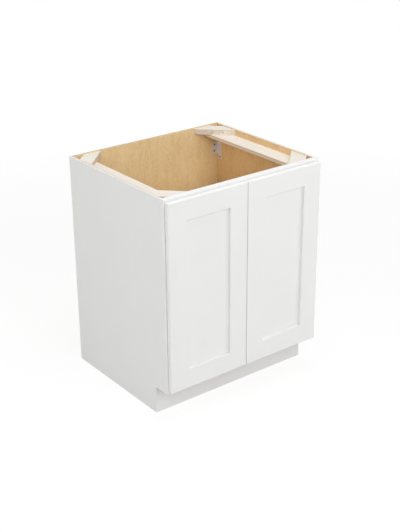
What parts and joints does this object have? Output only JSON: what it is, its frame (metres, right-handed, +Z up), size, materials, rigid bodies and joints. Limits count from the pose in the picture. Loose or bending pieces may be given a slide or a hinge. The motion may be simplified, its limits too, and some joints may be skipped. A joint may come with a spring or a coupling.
{
  "type": "base cabinet with rollout shelves",
  "caption": "White framed base cabinet with an open top, a recessed toe kick, hinged shaker doors and maple rollout trays on roller runners.",
  "frame": {"origin": "on the floor, under the middle of the closed cabinet's box", "axes": "+Z up, +X to the right seen from the doors, the doors face -Y and the wall side +Y"},
  "size_m": [0.72, 0.6306, 0.8763],
  "materials": {
    "white_paint": "satin white paint on wood",
    "side_panel": "plywood, white outside and clear maple inside",
    "maple_ply": "maple plywood, clear satin",
    "pale_ply": "bare pale plywood",
    "block_wood": "bare pale plywood",
    "cleat_wood": "bare softwood",
    "tray_maple": "solid maple and plywood, clear satin",
    "bracket_steel": "grey zinc plated sheet",
    "hinge_steel": "nickel plated",
    "white_epoxy": "white epoxy coated steel",
    "nylon": "white nylon",
    "bumper": "clear soft bumper"
  },
  "bodies": {
    "cabinet": {"left_side_panel": "side_panel", "right_side_panel": "side_panel", "back_panel": "maple_ply", "bottom_panel": "maple_ply", "left_frame_stile": "white_paint", "right_frame_stile": "white_paint", "top_frame_rail": "white_paint", "bottom_frame_rail": "white_paint", "toe_kick_board": "white_paint", "left_top_stretcher": "pale_ply", "right_top_stretcher": "pale_ply", "front_left_corner_block": "block_wood", "front_right_corner_block": "block_wood", "rear_left_corner_block": "block_wood", "rear_right_corner_block": "block_wood", "left_corner_bracket": "bracket_steel", "right_corner_bracket": "bracket_steel", "left_hinge_arms": "hinge_steel", "right_hinge_arms": "hinge_steel", "left_hinge_pins": "hinge_steel", "right_hinge_pins": "hinge_steel", "runner_cleats": "cleat_wood", "upper_cabinet_runners": "white_epoxy", "lower_cabinet_runners": "white_epoxy"},
    "left_door": {"left_hinge_cups": "hinge_steel", "left_door_hinge_stile": "white_paint", "left_door_meeting_stile": "white_paint", "left_door_top_rail": "white_paint", "left_door_bottom_rail": "white_paint", "left_door_panel": "white_paint", "left_door_bumpers": "bumper"},
    "right_door": {"right_hinge_cups": "hinge_steel", "right_door_hinge_stile": "white_paint", "right_door_meeting_stile": "white_paint", "right_door_top_rail": "white_paint", "right_door_bottom_rail": "white_paint", "right_door_panel": "white_paint", "right_door_bumpers": "bumper"},
    "upper_rollout": {"upper_tray_runners": "white_epoxy", "upper_tray_front": "tray_maple", "upper_tray_back": "tray_maple", "upper_tray_left_side": "tray_maple", "upper_tray_right_side": "tray_maple", "upper_tray_bottom": "tray_maple"},
    "lower_rollout": {"lower_tray_runners": "white_epoxy", "lower_tray_front": "tray_maple", "lower_tray_back": "tray_maple", "lower_tray_left_side": "tray_maple", "lower_tray_right_side": "tray_maple", "lower_tray_bottom": "tray_maple"},
    "upper_front_roller_pair": {"upper_front_rollers": "nylon"},
    "upper_rear_roller_pair": {"upper_rear_rollers": "nylon"},
    "lower_front_roller_pair": {"lower_front_rollers": "nylon"},
    "lower_rear_roller_pair": {"lower_rear_rollers": "nylon"}
  },
  "joints": [
    {"name": "left_door_hinge", "type": "hinge", "parent": "cabinet", "child": "left_door", "pos_m": [-0.3475, -0.30493, 0.4945], "axis": [0, 0, -1], "range_deg": [0, 110]},
    {"name": "right_door_hinge", "type": "hinge", "parent": "cabinet", "child": "right_door", "pos_m": [0.3475, -0.30493, 0.4945], "axis": [0, 0, 1], "range_deg": [0, 110]},
    {"name": "upper_rollout_slide", "type": "slide", "parent": "cabinet", "child": "upper_rollout", "axis": [0, -1, 0], "range_m": [0, 0.375]},
    {"name": "lower_rollout_slide", "type": "slide", "parent": "cabinet", "child": "lower_rollout", "axis": [0, -1, 0], "range_m": [0, 0.375]},
    {"name": "upper_front_roller_spin", "type": "hinge", "parent": "cabinet", "child": "upper_front_roller_pair", "pos_m": [0, -0.19827, 0.467], "axis": [1, 0, 0], "range_deg": [0, 2047]},
    {"name": "upper_rear_roller_spin", "type": "hinge", "parent": "upper_rollout", "child": "upper_rear_roller_pair", "pos_m": [0, 0.27373, 0.467], "axis": [1, 0, 0], "range_deg": [0, 2047]},
    {"name": "lower_front_roller_spin", "type": "hinge", "parent": "cabinet", "child": "lower_front_roller_pair", "pos_m": [0, -0.19827, 0.1681], "axis": [1, 0, 0], "range_deg": [0, 2047]},
    {"name": "lower_rear_roller_spin", "type": "hinge", "parent": "lower_rollout", "child": "lower_rear_roller_pair", "pos_m": [0, 0.27373, 0.1681], "axis": [1, 0, 0], "range_deg": [0, 2047]}
  ],
  "couplings": [
    {"joint": "right_door_hinge", "follows": "left_door_hinge", "ratio": 1},
    {"joint": "upper_rollout_slide", "follows": "left_door_hinge", "m_per_rad": 0.12},
    {"joint": "lower_rollout_slide", "follows": "left_door_hinge", "m_per_rad": 0.12},
    {"joint": "upper_front_roller_spin", "follows": "left_door_hinge", "ratio": 11.429},
    {"joint": "upper_rear_roller_spin", "follows": "left_door_hinge", "ratio": 11.429},
    {"joint": "lower_front_roller_spin", "follows": "left_door_hinge", "ratio": 11.429},
    {"joint": "lower_rear_roller_spin", "follows": "left_door_hinge", "ratio": 11.429}
  ]
}
